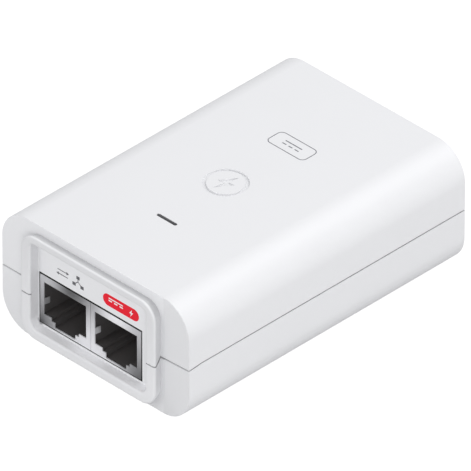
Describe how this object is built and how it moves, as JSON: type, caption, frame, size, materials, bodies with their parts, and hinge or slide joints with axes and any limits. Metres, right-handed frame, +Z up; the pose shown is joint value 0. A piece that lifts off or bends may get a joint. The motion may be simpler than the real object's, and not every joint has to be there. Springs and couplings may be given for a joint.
{
  "type": "PoE injector",
  "caption": "White desktop power-over-Ethernet injector: moulded two-part case, shielded network jacks in a raised frame, status light bar and a mains inlet at the rear.",
  "frame": {"origin": "on the underside, at the middle of the footprint, lip included", "axes": "+Y along the length, from the network ports to the mains inlet; +X to the right seen from the ports' side; +Z up"},
  "size_m": [0.0584, 0.0888, 0.0312],
  "materials": {
    "case_white": "satin moulded, fine texture",
    "smoked_lens": "smooth",
    "jack_steel": "tin plated sheet",
    "black_plastic": "moulded",
    "contact_gold": "gold plated",
    "pin_brass": "polished",
    "board_green": "solder mask",
    "fibre_sheet": "matt sheet",
    "led_clear": "moulded",
    "film_yellow": "moulded",
    "disc_blue": "dipped",
    "ferrite": "pressed",
    "copper_wire": "enamelled",
    "sleeve_black": "shrunk film",
    "sink_aluminium": "sheet",
    "tape_yellow": "film tape",
    "screw_steel": "zinc plated"
  },
  "bodies": {
    "case": {"ac_inlet_housing": "black_plastic", "bottom_shell": "case_white", "bridge_rectifier": "black_plastic", "bulk_capacitor": "sleeve_black", "controller_chip": "black_plastic", "data_line_transformer": "black_plastic", "fuse": "black_plastic", "heat_sink": "sink_aluminium", "heat_sink_screw": "screw_steel", "inlet_pin_earth": "pin_brass", "inlet_pin_line": "pin_brass", "inlet_pin_neutral": "pin_brass", "insulating_sheet": "fibre_sheet", "lan_contact_insert": "black_plastic", "lan_jack_housing": "black_plastic", "lan_jack_shield": "jack_steel", "led_light_pipe": "smoked_lens", "line_choke_coil_front": "copper_wire", "line_choke_coil_rear": "copper_wire", "line_choke_core": "ferrite", "main_pcb": "board_green", "optocoupler": "black_plastic", "output_capacitor_large": "sleeve_black", "output_capacitor_small": "sleeve_black", "output_diode": "black_plastic", "output_inductor": "ferrite", "poe_contact_insert": "black_plastic", "poe_jack_housing": "black_plastic", "poe_jack_shield": "jack_steel", "power_transistor": "black_plastic", "status_led": "led_clear", "top_shell": "case_white", "transformer_bobbin": "black_plastic", "transformer_core": "ferrite", "transformer_winding": "tape_yellow", "varistor": "disc_blue", "x_capacitor": "film_yellow", "y_capacitor": "disc_blue"},
    "lan_contacts": {"lan_contact_1": "contact_gold", "lan_contact_2": "contact_gold", "lan_contact_3": "contact_gold", "lan_contact_4": "contact_gold", "lan_contact_5": "contact_gold", "lan_contact_6": "contact_gold", "lan_contact_7": "contact_gold", "lan_contact_8": "contact_gold"},
    "poe_contacts": {"poe_contact_1": "contact_gold", "poe_contact_2": "contact_gold", "poe_contact_3": "contact_gold", "poe_contact_4": "contact_gold", "poe_contact_5": "contact_gold", "poe_contact_6": "contact_gold", "poe_contact_7": "contact_gold", "poe_contact_8": "contact_gold"}
  },
  "joints": [
    {"name": "lan_contacts_flex", "type": "hinge", "parent": "case", "child": "lan_contacts", "pos_m": [-0.00975, -0.0374, 0.0161], "axis": [1, 0, 0], "range_deg": [0, 12], "stiffness_Nm_per_rad": 0.05},
    {"name": "poe_contacts_flex", "type": "hinge", "parent": "case", "child": "poe_contacts", "pos_m": [0.00615, -0.0374, 0.0161], "axis": [1, 0, 0], "range_deg": [0, 12], "stiffness_Nm_per_rad": 0.05}
  ]
}
